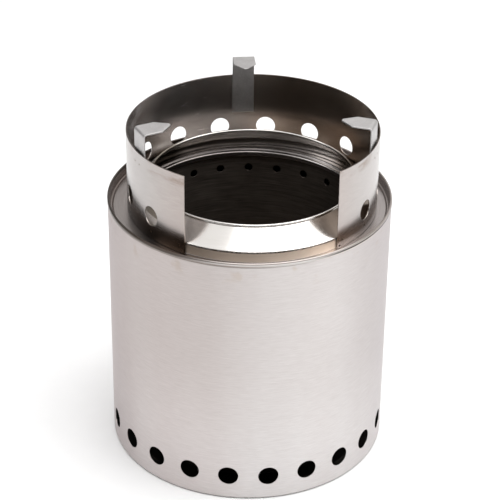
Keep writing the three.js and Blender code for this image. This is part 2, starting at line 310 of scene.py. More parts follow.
class Finish:
    # a material, or the world's light, under construction
    def __init__(self, owner, coordinates="Object"):
        self.owner = owner
        owner.use_nodes = True
        self.tree = owner.node_tree
        self.tree.nodes.clear()
        self.place = self.node("ShaderNodeTexCoord", output=coordinates)

    def node(self, kind, settings=None, inputs=None, output=0):
        made = self.tree.nodes.new(kind)
        for key, setting in (settings or {}).items():
            setattr(made, key, setting)
        for key, value in (inputs or {}).items():
            if isinstance(value, Value):
                self.tree.links.new(value.socket, made.inputs[key])
            else:
                made.inputs[key].default_value = value
        return Value(self, made.outputs[output])

    def mix(self, share, first, second, blend="MIX"):
        settings = {"data_type": "RGBA", "blend_type": blend}
        return self.node("ShaderNodeMix", settings, {0: share, 6: first, 7: second}, output=2)

    def noise(self, vector, scale=1.0, detail=2.0, roughness=0.5):
        inputs = {"Vector": vector, "Scale": scale, "Detail": detail, "Roughness": roughness}
        return self.node("ShaderNodeTexNoise", {}, inputs)

    def ramp(self, value, low, high, smooth=True):
        # 0 below low, 1 above high
        settings = {"interpolation_type": "SMOOTHSTEP" if smooth else "LINEAR"}
        return self.node("ShaderNodeMapRange", settings, {0: value, 1: low, 2: high, 3: 0.0, 4: 1.0})

    def parts(self):
        # the place's x, y and z
        made = self.tree.nodes.new("ShaderNodeSeparateXYZ")
        self.tree.links.new(self.place.socket, made.inputs[0])
        return [Value(self, socket) for socket in made.outputs]

    def join(self, x, y, z):
        return self.node("ShaderNodeCombineXYZ", {}, {0: x, 1: y, 2: z})

    def radius(self, x, y):
        return (x * x + y * y) ** 0.5

    def finishWith(self, inputs, bump, bumpDepth):
        relief = {"Strength": 1.0, "Distance": bumpDepth, "Height": bump}
        normal = self.node("ShaderNodeBump", {}, relief)
        shader = self.node("ShaderNodeBsdfPrincipled", {}, {**inputs, "Normal": normal})
        return self.close("ShaderNodeOutputMaterial", shader)

    def close(self, kind, shader):
        output = self.tree.nodes.new(kind)
        self.tree.links.new(shader.socket, output.inputs["Surface"])
        return self.owner


def newMaterial(name):
    return Finish(bpy.data.materials.new(name))


def colour(red, green, blue):
    return (red, green, blue, 1.0)


brushing = {
    "fineShare": 0.6, "broadShare": 0.4,  # of the two widths of line
    "lineShare": 0.75, "cloudShare": 0.25, "shade": (0.32, 0.68),
    "cloudRoughness": 0.04, "direction": 0.25,  # a quarter turn from the tangent
}


def brushedSteel(name, settings, marks=None):
    # steel brushed round the upright axis: noise that changes fast up the wall and fast outwards, and
    # slowly along a turn, at two widths of line, with faint cloudy patches under it. Its marks come last:
    # each is a share of the surface, a tint that multiplies the colour there, and how much rougher it gets
    finish = newMaterial(name)
    x, y, z = finish.parts()
    x = x - settings.get("centreX", 0.0)
    radius = finish.radius(x, y)
    slow = 1 / settings["lineLength"]

    def lines(width):
        fast = 1 / width
        place = finish.join(x * slow + radius * fast, y * slow, z * fast)
        return finish.noise(place, detail=2.0, roughness=0.6)

    fine, broad = lines(settings["fineLine"]), lines(settings["broadLine"])
    grain = fine * brushing["fineShare"] + broad * brushing["broadShare"]
    cloud = finish.noise(finish.place, scale=settings["cloudScale"], detail=3.0, roughness=0.55)
    pattern = grain * brushing["lineShare"] + cloud * brushing["cloudShare"]
    shade = finish.ramp(pattern, *brushing["shade"], smooth=False)
    tint = finish.mix(shade, settings["dark"], settings["light"])
    rough = settings["roughness"] + (grain - 0.5) * settings["roughnessSpread"]
    rough = rough + (cloud - 0.5) * brushing["cloudRoughness"]
    for share, mark, roughening in (marks(finish, x, y, z, radius) if marks else ()):
        tint = finish.mix(share, tint, mark, "MULTIPLY")
        rough = rough + share * roughening
    inputs = {
        "Base Color": tint, "Roughness": rough, "Metallic": 1.0,
        "Anisotropic": settings["anisotropy"], "Anisotropic Rotation": brushing["direction"],
        "Specular Tint": settings.get("edgeTint", colour(1, 1, 1)),
    }
    return finish.finishWith(inputs, grain, settings["bumpDepth"])


# heights that the marks follow, in metres
rimTopZ, ringFootZ, ringTopZ = (z * metresPerMm for z in (
    cadTop("rim_and_seat"), cadFoot("ring_wall"), cadTop("ring_wall")))
coneFlange = 6.6  # millimetres; the cone's shoulder above its foot
shoulderZ = ringFootZ + coneFlange * metresPerMm


def spanner(finish, marks):
    # a share of the surface: 0 before the span of that name in the marks and 1 past it. The span's ends are
    # measured from start, and every length in the marks is in metres
    def span(value, name, start=0.0):
        low, high = marks[name]
        return finish.ramp(value, start + low, start + high)
    return span


shellMarks = {
    # the streak tint is painted reflection: soft upright bands that stand in for smeared reflections
    "streakTurns": 26, "streakRise": 2.5, "streaks": (0.36, 0.62), "streakReflectionTint": colour(0.97, 0.96, 0.96),
    # painted shade: the left side of the wall darker and rosier, and more so higher up
    "shadedLeftAcross": (-0.030, 0.012), "shadedLeftTint": colour(0.95, 0.915, 0.91),
    "rosyUp": (0.03, 0.12), "rosyUpTint": colour(0.91, 0.905, 0.90),
    "spotScale": 95.0, "spots": (0.62, 0.74), "spotsUnderRim": (-0.022, -0.006),
    "spotTint": colour(0.95, 0.91, 0.86), "spotRoughening": 0.03,
    # painted shade: the upper wall darker, and more so on its right
    "upper": (0.02, 0.10), "upperTint": colour(0.94, 0.93, 0.925),
    "rightAcross": (0.035, 0.08), "rightShadeTint": colour(0.93, 0.93, 0.935),
    # painted shade on the inner face of the wall, seen through the intake holes
    "insideRadius": (0.0885, 0.0887), "insideUp": (0.0002, 0.0004),
    "insideShadeTint": colour(0.16, 0.14, 0.12), "insideRoughening": 0.1,
}


def markShell(finish, x, y, z, radius):
    # painted reflection in soft upright streaks, rosier painted shade on the left, faint brown spots of
    # heat under the rim, painted shade over the upper wall and more on its right, and painted shade on the
    # inner face
    marks, span = shellMarks, spanner(finish, shellMarks)
    turns, rise = marks["streakTurns"], marks["streakRise"]
    # painted reflection: soft upright streaks on the wall
    streaks = finish.noise(finish.join(x * turns, y * turns, z * rise), detail=1.0)
    streaks = span(streaks, "streaks")
    # painted shade over the left side, deeper higher up the wall
    shadedLeft = 1 - span(x, "shadedLeftAcross")
    spots = span(finish.noise(finish.place, scale=marks["spotScale"], detail=2.0), "spots")
    underRim = span(z, "spotsUnderRim", rimTopZ)
    # painted shade over the upper wall, more on the right
    upper = span(z, "upper")
    right = span(x, "rightAcross")
    # painted shade on the inner face
    inside = (1 - span(radius, "insideRadius")) * span(z, "insideUp")
    return [
        (streaks, marks["streakReflectionTint"], 0.0),
        (shadedLeft, marks["shadedLeftTint"], 0.0),
        (shadedLeft * span(z, "rosyUp"), marks["rosyUpTint"], 0.0),
        (spots * underRim, marks["spotTint"], marks["spotRoughening"]),
        (upper, marks["upperTint"], 0.0),
        (right * upper, marks["rightShadeTint"], 0.0),
        (inside, marks["insideShadeTint"], marks["insideRoughening"]),
    ]


seatMarks = {
    "leftAcross": (-0.02, 0.035), "rightAcross": (0.055, 0.075),
    "rim": (-0.0035, -0.001), "roll": (-0.0012, -0.0008),  # heights are from the rim's top
    "legRadius": (0.0884, 0.0886), "legTint": colour(1.22, 1.27, 1.28), "legRoughening": 0.12,
    # painted shade: a dark line along the bend of the rim's outer leg, on the right
    "dirtLow": (-0.0023, -0.0018), "bendShadeHigh": (-0.0011, -0.0008), "bendShadeAcross": (0.03, 0.06),
    "bendShadeTint": colour(0.09, 0.08, 0.07),
    # painted shade: the roll's top darker, toning down its highlight
    "rollTint": colour(0.76, 0.73, 0.71), "rollRoughening": 0.05,
    # painted shade: the roll darker on the left
    "darkRoll": (-0.0020, -0.0014), "darkRollAcross": (-0.05, -0.01),
    "darkRollTint": colour(0.20, 0.18, 0.165),
    # painted shade: the rim's inner wall darker, more on the left
    "wallRadius": (0.0857, 0.0871), "wallHigh": (-0.0022, -0.0008),
    "wallShadeTint": colour(0.50, 0.45, 0.42),
    "wallShares": (0.4, 0.6),  # everywhere, and more on the left
    # painted shade: the seat darker on its left and at its far right
    "leftShadeTint": colour(0.66, 0.64, 0.63), "rightShadeTint": colour(0.82, 0.81, 0.81),
    # painted light: the seat brighter at its front right
    "brightAcross": (0.03, 0.05), "paintedLightForward": (0.03, 0.05), "paintedLightTint": colour(1.65, 1.61, 1.56),
}


def markSeat(finish, x, y, z, radius):
    # the rim's outer leg matches the wall under it, with painted shade along its bend on the right; painted
    # shade darkens the roll's top, the roll on the left, the inner wall and the seat's sides, and painted
    # light brightens the seat's front right
    marks, span = seatMarks, spanner(finish, seatMarks)
    left = 1 - span(x, "leftAcross")
    right = span(x, "rightAcross")
    rim = span(z, "rim", rimTopZ)
    roll = span(z, "roll", rimTopZ)
    leg = span(radius, "legRadius") * (1 - roll)
    # painted shade on the left of the roll
    darkRoll = span(z, "darkRoll", rimTopZ) * (1 - span(x, "darkRollAcross"))
    # painted shade along the leg's bend
    bendShade = span(z, "dirtLow", rimTopZ) * (1 - span(z, "bendShadeHigh", rimTopZ))
    # painted light at the seat's front right
    paintedLight = span(x, "brightAcross") * span(0 - y, "paintedLightForward")
    # painted shade on the rim's inner wall
    wall = span(radius, "wallRadius") * (1 - span(z, "wallHigh", rimTopZ))
    wallEverywhere, wallLeft = marks["wallShares"]
    return [
        (leg, marks["legTint"], marks["legRoughening"]),
        (leg * bendShade * span(x, "bendShadeAcross"), marks["bendShadeTint"], 0.0),
        # painted shade on the roll's top
        (roll, marks["rollTint"], marks["rollRoughening"]),
        (darkRoll, marks["darkRollTint"], 0.0),
        (wall * (left * wallLeft + wallEverywhere), marks["wallShadeTint"], 0.0),
        # painted shade on the seat's left and far right
        (left * (1 - rim), marks["leftShadeTint"], 0.0),
        (right * (1 - rim), marks["rightShadeTint"], 0.0),
        (paintedLight * (1 - rim), marks["paintedLightTint"], 0.0),
    ]


ringMarks = {
    # the inner face: a brown heat tint laid on the right only, which also paints shade there
    "innerRadius": (0.0776, 0.0780), "innerAcross": (-0.05, 0.03), "innerHeatAndShadeTint": colour(0.62, 0.53, 0.45),
    # the foot: brown that is partly heat tint and partly painted shade, with more painted shade at the
    # front, on the left and low on the left
    "foot": (0.0045, 0.0135), "low": (0.003, 0.005), "footTint": colour(0.72, 0.66, 0.60),
    "forward": (0.040, 0.072), "footForwardShadeTint": colour(0.60, 0.55, 0.49),
    "leftAcross": (-0.03, 0.03), "footLeftShadeTint": colour(0.62, 0.58, 0.54),
    "farLeftAcross": (0.05, 0.062), "footFarLeftShadeTint": colour(0.42, 0.39, 0.37),
    "lowLeftShadeTint": colour(0.62, 0.60, 0.58),
    "cut": (-0.0001, -0.00003), "cutTint": colour(0.50, 0.47, 0.45),
    "forwardTint": colour(0.94, 0.88, 0.85),
    "smudgeTurns": 60, "smudgeRise": 160, "smudges": (0.42, 0.62), "smudgesUnderTop": (-0.009, -0.001),
    "smudgesForward": (0.015, 0.05), "smudgeTint": colour(0.54, 0.43, 0.34), "smudgeRoughening": 0.04,
}


def markRing(finish, x, y, z, radius):
    # brown at the foot, partly heat tint and partly painted shade, with more painted shade at the front and
    # on the left, a warm cast towards the feed opening, smudges of heat under the top edge, and a brown
    # heat tint on the right of the inner face that paints shade there too
    marks, span = ringMarks, spanner(finish, ringMarks)
    foot = 1 - span(z, "foot", ringFootZ)
    low = 1 - span(z, "low", ringFootZ)
    forward = span(0 - y, "forward")
    left = 1 - span(x, "leftAcross")
    # the foot's brown, partly heat tint and partly painted shade, is kept off the lowest band on the right
    notLowRight = 1 - (1 - left) * low
    turns, rise = marks["smudgeTurns"], marks["smudgeRise"]
    smudges = finish.noise(finish.join(x * turns, y * turns, z * rise), detail=3.0)
    smudges = span(smudges, "smudges")
    underTop = span(z, "smudgesUnderTop", ringTopZ) * span(0 - y, "smudgesForward")
    # brown heat tint on the right of the inner face, also painted shade
    inner = (1 - span(radius, "innerRadius")) * span(x, "innerAcross")
    return [
        (inner, marks["innerHeatAndShadeTint"], 0.0),
        (foot * notLowRight, marks["footTint"], 0.0),
        (foot * forward * notLowRight, marks["footForwardShadeTint"], 0.0),
        (foot * left, marks["footLeftShadeTint"], 0.0),
        (foot * span(0 - x, "farLeftAcross"), marks["footFarLeftShadeTint"], 0.0),
        (low * left, marks["lowLeftShadeTint"], 0.0),
        (span(z, "cut", ringTopZ), marks["cutTint"], 0.0),
        (forward, marks["forwardTint"], 0.0),
        (smudges * underTop, marks["smudgeTint"], marks["smudgeRoughening"]),
    ]


coneMarks = {
    "flange": (-0.0011, -0.0003), "flangeForward": (0.044, 0.056),
    # the flange's front: painted light brightens it, with a warm heat tint
    "flangeTint": colour(1.44, 1.33, 1.20), "flangeRoughening": 0.36,
    # painted shade: the cone darker at its far right and far left, and the flange at its left end
    "farRightAcross": (0.050, 0.060), "farRightShadeTint": colour(0.45, 0.40, 0.36),
    "farLeftAcross": (0.042, 0.052),
    "upper": (0.0102, 0.0106), "upperTint": colour(0.50, 0.47, 0.42),  # heights above the foot
    "lower": (0.0066, 0.0102), "lowerTint": colour(0.28, 0.26, 0.23),
    "leftEndAcross": (-0.038, -0.012), "leftEndShadeTint": colour(0.62, 0.60, 0.58),
    # the shoulder line: speckled burn marks that also paint shade in the crease
    "lineDrop": 0.0002, "lineWidth": (0.0001, 0.0007), "burnAndShadeLineTint": colour(0.30, 0.24, 0.18),
    "speckleScale": 900.0, "speckles": (0.42, 0.60),
}


def markCone(finish, x, y, z, radius):
    # the flange below the shoulder is duller, and at the front warmer and brightened by painted light, with
    # a broken dark line of burn marks that also paints shade in the crease where it meets the cone; painted
    # shade darkens the flange's left end and the cone's far left and far right
    marks, span = coneMarks, spanner(finish, coneMarks)
    flange = 1 - span(z, "flange", shoulderZ)
    # painted shade at the flange's left end and the cone's far left and far right
    leftEnd = 1 - span(x, "leftEndAcross")
    farLeft = span(0 - x, "farLeftAcross")
    speckles = finish.noise(finish.place, scale=marks["speckleScale"], detail=2.0)
    # burn marks along the crease at the shoulder, also painted shade
    line = 1 - span(abs(z - (shoulderZ - marks["lineDrop"])), "lineWidth")
    upper = span(z, "upper", ringFootZ)
    lower = 1 - span(z, "lower", ringFootZ)
    # painted light and a warm heat tint on the flange's front
    flangeForward = flange * span(0 - y, "flangeForward")
    return [
        (flangeForward, marks["flangeTint"], marks["flangeRoughening"]),
        (span(x, "farRightAcross"), marks["farRightShadeTint"], 0.0),
        (farLeft * upper, marks["upperTint"], 0.0),
        (farLeft * lower, marks["lowerTint"], 0.0),
        (flange * leftEnd, marks["leftEndShadeTint"], 0.0),
        (line * span(speckles, "speckles"), marks["burnAndShadeLineTint"], 0.0),
    ]


baseMarks = {
    "edgeRadius": (0.0775, 0.0785), "edgeUp": (0.0008, 0.0010), "raisedUp": (0.0029, 0.0032),
    # painted shade over the upper face inside the body
    "baseShadeTint": colour(0.07, 0.065, 0.06), "baseShadeRoughening": 0.1,
}


def markBase(finish, x, y, z, radius):
    # painted shade on the upper face, of both the raised middle and the low edge
    marks, span = baseMarks, spanner(finish, baseMarks)
    edge = span(radius, "edgeRadius") * span(z, "edgeUp")
    raised = span(z, "raisedUp")
    return [(edge + raised - edge * raised, marks["baseShadeTint"], marks["baseShadeRoughening"])]


shellSteel = brushedSteel("shellSteel", {
    "lineLength": 0.0075, "fineLine": 0.00025, "broadLine": 0.0006, "cloudScale": 9.0,
    "dark": colour(0.585, 0.556, 0.546), "light": colour(0.725, 0.706, 0.698),
    "edgeTint": colour(0.80, 0.78, 0.79),
    "roughness": 0.36, "roughnessSpread": 0.09, "anisotropy": 0.75, "bumpDepth": 0.000004,
}, markShell)
seatSteel = brushedSteel("seatSteel", {
    "lineLength": 0.020, "fineLine": 0.0004, "broadLine": 0.0016, "cloudScale": 18.0,
    "dark": colour(0.49, 0.45, 0.435), "light": colour(0.59, 0.555, 0.54),
    "roughness": 0.24, "roughnessSpread": 0.08, "anisotropy": 0.5, "bumpDepth": 0.000004,
}, markSeat)
ringSteel = brushedSteel("ringSteel", {
    "lineLength": 0.0075, "fineLine": 0.00025, "broadLine": 0.0006, "cloudScale": 12.0, "centreX": 0.0016,
    "dark": colour(0.39, 0.364, 0.352), "light": colour(0.53, 0.50, 0.488),
    "roughness": 0.25, "roughnessSpread": 0.12, "anisotropy": 0.5, "bumpDepth": 0.000009,
}, markRing)
coneSteel = brushedSteel("coneSteel", {
    "lineLength": 0.020, "fineLine": 0.0004, "broadLine": 0.0012, "cloudScale": 22.0, "centreX": 0.0016,
    "dark": colour(0.58, 0.554, 0.528), "light": colour(0.635, 0.613, 0.59),
    "roughness": 0.19, "roughnessSpread": 0.06, "anisotropy": 0.3, "bumpDepth": 0.0000015,
}, markCone)
innerSteel = brushedSteel("innerSteel", {
    "lineLength": 0.015, "fineLine": 0.0006, "broadLine": 0.0018, "cloudScale": 30.0,
    "dark": colour(0.10, 0.085, 0.07), "light": colour(0.25, 0.215, 0.19),
    "roughness": 0.45, "roughnessSpread": 0.12, "anisotropy": 0.4, "bumpDepth": 0.000012,
})
baseSteel = brushedSteel("baseSteel", {
    "lineLength": 0.012, "fineLine": 0.0005, "broadLine": 0.0012, "cloudScale": 16.0,
    "dark": colour(0.36, 0.34, 0.33), "light": colour(0.50, 0.48, 0.465),
    "roughness": 0.42, "roughnessSpread": 0.10, "anisotropy": 0.5, "bumpDepth": 0.000006,
}, markBase)


def plainSteel(name, settings):
    # rolled strip or wire: fine speckle with cloudy patches
    finish = newMaterial(name)
    speckle = finish.noise(finish.place, scale=settings["speckleScale"], detail=4.0, roughness=0.65)
    cloud = finish.noise(finish.place, scale=settings["cloudScale"], detail=3.0)
    shade = finish.ramp(speckle * 0.5 + cloud * 0.5, 0.3, 0.7, smooth=False)
    tint = finish.mix(shade, settings["dark"], settings["light"])
    rough = settings["roughness"] + (speckle - 0.5) * settings["roughnessSpread"]
    inputs = {"Base Color": tint, "Roughness": rough, "Metallic": 1.0}
    return finish.finishWith(inputs, speckle, settings["bumpDepth"])


bracketSteel = plainSteel("bracketSteel", {
    "speckleScale": 900.0, "cloudScale": 120.0,
    "dark": colour(0.41, 0.398, 0.394), "light": colour(0.58, 0.565, 0.56),
    "roughness": 0.40, "roughnessSpread": 0.16, "bumpDepth": 0.00002,
})
wireSteel = plainSteel("wireSteel", {
    "speckleScale": 700.0, "cloudScale": 60.0,
    "dark": colour(0.20, 0.16, 0.13), "light": colour(0.40, 0.35, 0.31),
    "roughness": 0.5, "roughnessSpread": 0.15, "bumpDepth": 0.00003,
})
faintWeldSteel = plainSteel("faintWeldSteel", {
    "speckleScale": 1500.0, "cloudScale": 400.0,
    "dark": colour(0.40, 0.36, 0.33), "light": colour(0.54, 0.50, 0.47),
    "roughness": 0.38, "roughnessSpread": 0.15, "bumpDepth": 0.00001,
})
weldSteel = plainSteel("weldSteel", {
    "speckleScale": 1500.0, "cloudScale": 400.0,
    "dark": colour(0.04, 0.028, 0.02), "light": colour(0.14, 0.10, 0.07),
    "roughness": 0.55, "roughnessSpread": 0.15, "bumpDepth": 0.00003,
})
print("materials made")

shell = {
    "wall": 0.5, "rounding": 0.1, "spacing": 1.6, "wideSpacing": 5.0, "seamDegrees": 180,
    "intakeCount": 22, "intakeRadius": 6.4, "intakeHeight": 17.3, "intakeBlock": 8.6,
    "hemWidth": 4.4, "hemBend": 1.3, "hemTop": 4.0,
    "neckLow": 2.92, "neckDepth": 0.55, "neckRise": 0.24,  # below the rim's top, inwards, and upwards
    "neckRun": 0.6, "neckBend": 0.28, "neckSteps": 4,
}
shell["radius"] = cadRadius("outer_shell")
shell["top"] = cadTop("outer_shell")
rimTop = cadTop("rim_and_seat")


def evenRow(piece, holes, firstShare=0.5):
    # one row of holes evenly round a wall, as distances along it within the turn that ends at its seam
    count, height, holeRadius, halfBlock = (
        piece[holes + part] for part in ("Count", "Height", "Radius", "Block"))
    angle = fullTurn / count * (np.arange(count) + firstShare)
    seam = math.radians(piece["seamDegrees"])
    angle = (angle - seam) % fullTurn + seam - fullTurn
    return [((piece["radius"] * a, height), holeRadius, halfBlock) for a in angle]


def roundWall(piece, holes, low, high, lowEnd, highEnd):
    # a closed wall round the axis between two heights, and the sections that finish it at its two ends
    seam, turn = piece["radius"] * math.radians(piece["seamDegrees"]), piece["radius"] * fullTurn
    spacings = piece["spacing"], piece["wideSpacing"]
    along = latticeLines([seam - turn, seam], holes, 0, *spacings)
    height = latticeLines([low, high], holes, 1, *spacings)
    flat = drilledSheet(along, height, holes, piece["wall"], piece["rounding"])
    flat += [bandPatch(along, lowEnd), bandPatch(along, highEnd)]
    place = onCylinder(piece["radius"])
    return [(place(points), faces) for points, faces in flat]


def wallEnd(piece, corners, radii, steps=7):
    # the end of a round wall: a bent sheet that starts at the wall's lattice, as (height, depth) points
    midline = bendPath(corners, radii, steps=steps)
    outline = sheetOutline(midline, piece["wall"], piece["rounding"], openStart=True)
    return np.stack([outline[:, 1], piece["radius"] - outline[:, 0]], axis=-1)


def outerShell():
    middle, hem = shell["radius"] - shell["wall"] / 2, shell["wall"] / 2
    neckLow = rimTop - shell["neckLow"]
    neckStart, inner = neckLow - shell["neckRun"], middle - shell["neckDepth"]
    holes = evenRow(shell, "intake")
    hemCorners = [(middle, shell["hemTop"]), (middle, hem), (middle - shell["hemWidth"], hem)]
    neckCorners = [
        (middle, neckStart), (middle, neckLow), (inner, neckLow + shell["neckRise"]), (inner, shell["top"])]
    lowEnd = wallEnd(shell, hemCorners, [shell["hemBend"]])
    highEnd = wallEnd(shell, neckCorners, [shell["neckBend"]] * 2, steps=shell["neckSteps"])
    return roundWall(shell, holes, shell["hemTop"], neckStart, lowEnd, highEnd)


makePiece("outer_shell_sheet", outerShell(), "stove_body", shellSteel, "outer_shell")

seat = {
    "wall": 0.5, "rounding": 0.12, "sides": 264,
    "depth": 6.2, "hookLeg": 2.64, "roll": 0.53,  # floor below the rim's top; hook's leg from the rim's top
    "wallBend": 1.5, "creaseDepth": 0.4, "creaseReach": 1.7, "creaseRise": 0.9, "creaseBends": (0.3, 0.5),
    "beadRadius": 73.3, "beadHalf": 1.3, "beadHeight": 1.15, "beadBends": (0.5, 0.6, 0.5),
    "mouthRadius": 69.6, "mouthBend": 0.8,
}
seat["radius"] = cadRadius("rim_and_seat")


def rimAndSeat():
    # from the hook's end up, over the rolled rim, down the inner wall, across the crease and the bead of
    # the floor, and down the mouth
    wall, roll = seat["wall"], seat["roll"]
    hook = seat["radius"] - wall / 2
    innerWall = hook - 2 * roll
    top, floor = rimTop - wall / 2, rimTop - seat["depth"] - wall / 2
    crease = floor - seat["creaseDepth"]
    creaseIn = innerWall - seat["creaseReach"]
    bead, half = seat["beadRadius"], seat["beadHalf"]
    mouth = seat["mouthRadius"] + wall / 2
    corners = [
        (hook, rimTop - seat["hookLeg"]), (hook, top), (innerWall, top), (innerWall, crease),
        (creaseIn, crease), (creaseIn - seat["creaseRise"], floor),
        (bead + half, floor), (bead, floor + seat["beadHeight"]), (bead - half, floor),
        (mouth, floor), (mouth, cadFoot("rim_and_seat")),
    ]
    radii = [roll, roll, seat["wallBend"], *seat["creaseBends"], *seat["beadBends"], seat["mouthBend"]]
    outline = sheetOutline(bendPath(corners, radii), wall, seat["rounding"])
    return [turnedPatch(outline, seat["sides"])]


makePiece("rim_and_seat_sheet", rimAndSeat(), "stove_body", seatSteel, "rim_and_seat")

chamber = {
    "wall": 0.5, "rounding": 0.1, "spacing": 1.5, "wideSpacing": 8.0, "seamDegrees": 5,
    "flange": 9.0, "bend": 1.0, "lowRun": 2.5, "highRun": 1.0,  # plain ends of the wall
    "jetCount": 24, "jetRadius": 2.6, "jetHeight": 152.3, "jetBlock": 4.4,
    "inletCount": 16, "inletRadius": 4.0, "inletHeight": 43.0, "inletBlock": 6.0,
}
chamber["radius"] = cadRadius("burn_chamber")


def burnChamber():
    radius, wall = chamber["radius"], chamber["wall"]
    floor, top = cadFoot("burn_chamber") + wall / 2, cadTop("burn_chamber")
    middle = radius - wall / 2
    jets, inlets = evenRow(chamber, "jet", 0), evenRow(chamber, "inlet")
    low, high = floor + chamber["lowRun"], top - chamber["highRun"]
    flangeCorners = [(middle, low), (middle, floor), (radius - chamber["flange"], floor)]
    lowEnd = wallEnd(chamber, flangeCorners, [chamber["bend"]])
    highEnd = wallEnd(chamber, [(middle, high), (middle, top)], [])
    return roundWall(chamber, jets + inlets, low, high, lowEnd, highEnd)


makePiece("burn_chamber_wall", burnChamber(), "stove_body", innerSteel, "burn_chamber")

# Sheets turned about the axis inside the body.
inside = {
    "sides": 192, "wall": 0.5, "rounding": 0.12,
    "supportWidth": 5.6, "supportBend": 0.9,
    "panRimWidth": 7.0, "panRimBend": 0.9, "panTaper": 3.0, "panBend": 1.5,
    "shieldBend": 1.5,
    "baseRaise": 2.0, "baseRaiseInset": 10.9, "baseBend": 0.6,
}


def turnedSheet(name, node, corners, radii, finish, closed=True):
    # a ring, or a disc that starts on the axis where closed is False
    midline = bendPath(corners, radii)
    outline = sheetOutline(midline, inside["wall"], inside["rounding"], openStart=not closed)
    patch = turnedPatch(outline, inside["sides"], closed)
    makePiece(name, [patch], "stove_body", finish, node)


half = inside["wall"] / 2
supportOut, supportTop = cadRadius("grate_support") - half, cadTop("grate_support") - half
supportIn = supportOut - inside["supportWidth"]
turnedSheet(
    "grate_ledge", "grate_support",
    [(supportOut, cadFoot("grate_support")), (supportOut, supportTop), (supportIn, supportTop)],
    [inside["supportBend"]], innerSteel,
)
panRim, panFloor = cadTop("ash_pan") - half, cadFoot("ash_pan") + half
panOut = cadRadius("ash_pan")
panThroat = panOut - inside["panRimWidth"]
turnedSheet(
    "ash_pan_dish", "ash_pan",
    [(0, panFloor), (panThroat - inside["panTaper"], panFloor), (panThroat, panRim), (panOut, panRim)],
    [inside["panBend"], inside["panRimBend"]], innerSteel, closed=False,
)
shieldOut, shieldTop = cadRadius("heat_shield") - half, cadTop("heat_shield") - half
turnedSheet(
    "heat_shield_dish", "heat_shield",
    [(0, shieldTop), (shieldOut, shieldTop), (shieldOut, cadFoot("heat_shield"))],
    [inside["shieldBend"]], innerSteel, closed=False,
)
baseLow = cadFoot("base_plate") + half
baseHigh, baseFlat = baseLow + inside["baseRaise"], shell["radius"] - inside["baseRaiseInset"]
baseStep, baseOut = baseFlat + inside["baseRaise"], cadRadius("base_plate")
turnedSheet(
    "base_disc", "base_plate",
    [(0, baseHigh), (baseFlat, baseHigh), (baseStep, baseLow), (baseOut, baseLow)],
    [inside["baseBend"]] * 2, baseSteel, closed=False,
)

grate = {
    "wireRadius": 1.25, "wireSides": 12, "hoopSides": 144,
    "hoops": 4, "spokes": 4, "spokeInnerEnd": 8.0, "endRound": 0.5, "endSteps": 4,
}


def grateHoop(index):
    # a circle of wire carried round the axis
    node = f"grate_hoop_{index}"
    turn = fullTurn * np.arange(grate["wireSides"]) / grate["wireSides"]
    wire = grate["wireRadius"]
    middle, height = cadRadius(node) - wire, cadFoot(node) + wire
    outline = np.stack([middle + wire * np.cos(turn), height + wire * np.sin(turn)], axis=-1)
    patch = turnedPatch(outline, grate["hoopSides"])
    makePiece(f"{node}_wire", [patch], "grate", wireSteel, node)


def grateSpoke(index):
    # a circle of wire carried outwards along a straight line, drawn in to a point over its rounded ends
    node = f"grate_spoke_{index}"
    wire, rounding = grate["wireRadius"], grate["endRound"]
    low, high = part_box(node)
    height = (low.z + high.z) / 2 / metresPerMm
    outer = max(abs(low.x), abs(high.x)) / metresPerMm * math.sqrt(2) - wire
    inner = grate["spokeInnerEnd"]
    quarter = np.linspace(0, math.pi / 2, grate["endSteps"])
    endReach, endWidth = rounding * (1 - np.cos(quarter)), wire - rounding * (1 - np.sin(quarter))
    reach = np.concatenate([[inner], inner + endReach, outer - endReach[::-1], [outer]])
    width = np.concatenate([[0], endWidth, endWidth[::-1], [0]])
    turn = fullTurn * np.arange(grate["wireSides"]) / grate["wireSides"]
    across, up = width[:, None] * np.cos(turn), width[:, None] * np.sin(turn)
    reach = np.broadcast_to(reach[:, None], across.shape)
    angle = fullTurn / grate["spokes"] * (index - 0.5)
    x = reach * math.sin(angle) + across * math.cos(angle)
    y = -reach * math.cos(angle) + across * math.sin(angle)
    patch = np.stack([x, y, height + up], axis=-1), gridFaces(*across.shape, False, True)
    makePiece(f"{node}_wire", [patch], "grate", wireSteel, node)


for i in range(grate["hoops"]):
    grateHoop(i + 1)
for i in range(grate["spokes"]):
    grateSpoke(i + 1)

ring = {
    "shift": 1.6, "turnDegrees": 4.3,
    "wall": 0.7, "rounding": 0.14, "land": 0.35, "cornerRadius": 0.7,
    "spacing": 1.1, "wideSpacing": 2.2, "inset": 10.7,
    "feedDegrees": 71.6, "ventCount": 12, "ventPitchDegrees": 22.5,
    "ventRadius": 6.3, "ventHeight": 15.1, "ventBlock": 8.0,
    "weldHole": 0.8, "weldBlock": 1.05, "weldHeight": 4.7, "weldFromFeedDegrees": 3.0,
    "lowWeldHeight": 1.45, "lowWeldFromFeedDegrees": 1.5,
    "bracketWeldSpread": 3.0, "bracketWeldDrop": 7.0,
}
ring["radius"] = shell["radius"] - ring["inset"]
ring["foot"], ring["top"] = cadFoot("ring_wall"), cadTop("ring_wall")
bracketDegrees = {"left": -67.5, "rear": 180.0, "right": 67.5}


def onRing(points):
    # the pot ring lies a little off centre, and turned
    turn = math.radians(ring["turnDegrees"])
    x, y, z = np.moveaxis(points, -1, 0)
    return np.stack([
        x * math.cos(turn) - y * math.sin(turn) + ring["shift"],
        x * math.sin(turn) + y * math.cos(turn),
        z,
    ], axis=-1)


def ringPlace(degrees, height, shift=0.0):
    # a place on the ring's outer face: angle from the far side, height above its foot
    return ring["radius"] * math.radians(degrees - 180) + shift, ring["foot"] + height


